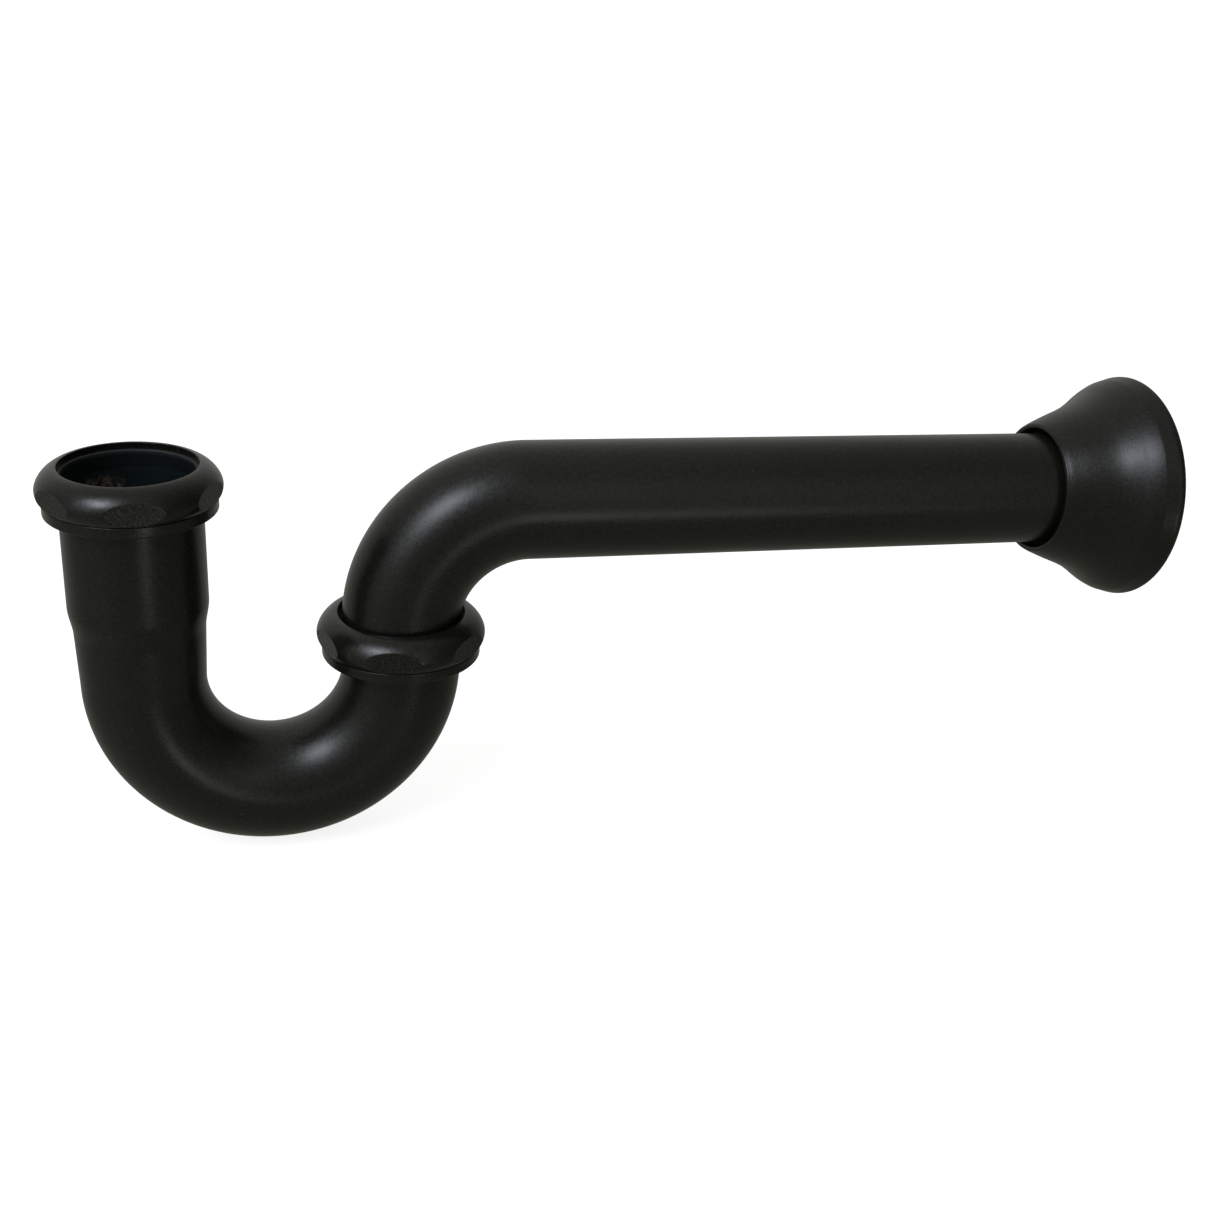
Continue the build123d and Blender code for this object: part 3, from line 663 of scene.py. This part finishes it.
pin = sorted([(zz, rr) for rr, zz in n_in] + [(2.2, hole_r + 0.42)])
ga, gb = (float(np.interp(z, [q[0] for q in pin], [q[1] for q in pin])) - 0.25 for z in (4.2, 8.2))
f, side = axis_frame(MOUTH, DIR, ARM_UP)
pts = rounded([(TUBE_R + 0.06, 4.2, 0.4), (ga, 4.2, 0.2), (gb, 8.2, 0.2), (TUBE_R + 0.06, 8.2, 0.4)], 0.45, 12)
ob = skin("flange_grip_ring_skin", pts, f, side, 256, 30.0)
finish_piece(ob, "flange_grip_ring", "flange_grip", "rubber")

for name in ("inlet_ferrule", "outlet_ferrule"):
    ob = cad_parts[name]
    ob.data.materials.clear()
    ob.data.materials.append(MAT["brass"])

# ================================================================ stage, light, camera
scene = bpy.context.scene
FLOOR_Z = float(lo0.z) - 0.0002

me = bpy.data.meshes.new("floor")
S = 30.0
me.from_pydata([(-S, -S, FLOOR_Z), (S, -S, FLOOR_Z), (S, S, FLOOR_Z), (-S, S, FLOOR_Z)], [], [(0, 1, 2, 3)])
floor = bpy.data.objects.new("floor", me)
scene.collection.objects.link(floor)
fm = bpy.data.materials.new("floor")
fm.use_nodes = True
t = Tree(fm.node_tree)
em = t.node("ShaderNodeEmission")
em.inputs["Color"].default_value = (1, 1, 1, 1)
em.inputs["Strength"].default_value = 0.86
df = t.node("ShaderNodeBsdfDiffuse")
df.inputs["Color"].default_value = (0.55, 0.55, 0.55, 1)
add = t.node("ShaderNodeAddShader")
t.t.links.new(em.outputs[0], add.inputs[0])
t.t.links.new(df.outputs[0], add.inputs[1])
tr = t.node("ShaderNodeBsdfTransparent")
geo = t.node("ShaderNodeNewGeometry")
mx = t.node("ShaderNodeMixShader")
t.t.links.new(geo.outputs["Backfacing"], mx.inputs[0])
t.t.links.new(add.outputs[0], mx.inputs[1])
t.t.links.new(tr.outputs[0], mx.inputs[2])
out = t.node("ShaderNodeOutputMaterial")
t.t.links.new(mx.outputs[0], out.inputs["Surface"])
me.materials.append(fm)
floor.visible_glossy = False
floor.visible_diffuse = False
floor.visible_shadow = False


def direction(az, el):
    """Azimuth 0 is towards the viewer (-Y), positive to the right (+X)."""
    a, e = math.radians(az), math.radians(el)
    return (math.sin(a) * math.cos(e), -math.cos(a) * math.cos(e), math.sin(e))


world = bpy.data.worlds.new("studio")
scene.world = world
world.use_nodes = True
t = Tree(world.node_tree)
tc = t.node("ShaderNodeTexCoord").outputs["Generated"]
d = t.vec("NORMALIZE", tc)


def lobe(az, el, k, amp):
    x = t.vec("DOT_PRODUCT", d, direction(az, el))
    return t.math("MULTIPLY", t.math("EXPONENT", t.math("MULTIPLY", t.math("SUBTRACT", x, 1.0), k)), amp)


def scaled(colour, x):
    return t.vec("SCALE", colour, scale=x)


AMBIENT = 0.145
LOBES = [  # azimuth, elevation, tightness, strength, colour
    (-48, 46, 42.0, 6.3, (0.95, 0.985, 1.12)),       # soft key, up and left
    (-54, 26, 30.0, 0.50, (0.95, 0.985, 1.08)),      # its lower edge
    (-47, 46, 6.0, 0.125, (0.97, 1.0, 1.06)),        # its spill
    (19, 2, 60.0, 0.22, (1.0, 1.0, 1.0)),            # narrow upright strip above it
    (20, 20, 60.0, 0.26, (1.0, 1.0, 1.0)),
    (20, 38, 50.0, 0.20, (1.0, 1.0, 1.0)),
    (-64, 4, 14.0, 0.10, (1.0, 1.0, 1.02)),          # pale wall at the left
    (-90, -45, 3.0, 0.06, (1.0, 1.0, 0.92)),
    (-165, 8, 4.0, 0.17, (1.0, 1.0, 1.0)),           # pale backdrop behind
    (165, 8, 4.0, 0.17, (1.0, 1.0, 1.0)),
    (180, 52, 2.5, 0.09, (0.99, 1.0, 1.01)),
    (0, 90, 4.0, 0.07, (0.98, 1.0, 1.03)),           # ceiling
    (5, 60, 5.0, 0.050, (0.98, 1.0, 1.03)),          # and its nearer part
    (-125, 36, 5.0, 0.060, (0.99, 1.0, 1.0)),        # wall behind the key
    (-50, 28, 4.0, 0.035, (0.98, 1.0, 1.03)),
]
DARK = [(90, 22, 4.0, 0.87), (72, 45, 6.0, 0.40), (-100, 4, 5.0, 0.60), (-5, 12, 6.0, 0.30)]
base = t.math("ADD", AMBIENT, 0.0)
for az, el, k, amp in DARK:
    base = t.math("MULTIPLY", base, t.math("SUBTRACT", 1.0, lobe(az, el, k, amp)))
total = scaled((0.985, 1.015, 0.80), base)
# small reflector, front right and low, cut off along its bottom edge
sep = t.node("ShaderNodeSeparateXYZ")
t.set(sep.inputs[0], d)
cut = t.ramp(sep.outputs[2], math.sin(math.radians(-24.0)), math.sin(math.radians(-17.5)))
card = t.math("MULTIPLY", t.math("ADD", lobe(15, -13, 200.0, 1.0), lobe(16, -19, 200.0, 1.35)), cut)
total = t.vec("ADD", total, scaled((0.99, 1.0, 0.99), card))
for az, el, k, amp, colour in LOBES:
    total = t.vec("ADD", total, scaled(colour, lobe(az, el, k, amp)))
bg = t.node("ShaderNodeBackground")
t.t.links.new(total, bg.inputs["Color"])
bg.inputs["Strength"].default_value = 1.0
white = t.node("ShaderNodeBackground")
white.inputs["Color"].default_value = (1, 1, 1, 1)
white.inputs["Strength"].default_value = 1.0
mx = t.node("ShaderNodeMixShader")
lp = t.node("ShaderNodeLightPath")
t.t.links.new(lp.outputs["Is Camera Ray"], mx.inputs[0])
t.t.links.new(bg.outputs[0], mx.inputs[1])
t.t.links.new(white.outputs[0], mx.inputs[2])
wo = t.node("ShaderNodeOutputWorld")
t.t.links.new(mx.outputs[0], wo.inputs["Surface"])

scene.view_settings.view_transform = "Standard"
scene.view_settings.look = "None"
scene.view_settings.exposure = 0.0
scene.view_settings.gamma = 1.0

cam_data = bpy.data.cameras.new("camera")
cam = bpy.data.objects.new("camera", cam_data)
scene.collection.objects.link(cam)
cam_data.sensor_width = 36.0
cam_data.sensor_fit = "AUTO"
cam_data.lens = 1549.962 / 1214.0 * 36.0
cam_data.clip_start, cam_data.clip_end = 0.02, 60.0
yaw, pitch, roll = -0.29546903, -0.41852133, 0.05937114
fwd = np.array([-math.sin(yaw) * math.cos(pitch), math.cos(yaw) * math.cos(pitch), math.sin(pitch)])
right = np.array([math.cos(yaw), math.sin(yaw), 0.0])
up = np.cross(right, fwd)
r2 = math.cos(roll) * right + math.sin(roll) * up
u2 = -math.sin(roll) * right + math.cos(roll) * up
M = Matrix.Identity(4)
for k in range(3):
    M[k][0], M[k][1], M[k][2] = r2[k], u2[k], -fwd[k]
M[0][3], M[1][3], M[2][3] = 0.01160258, -0.45430603, 0.16201878
cam.matrix_world = M
scene.camera = cam
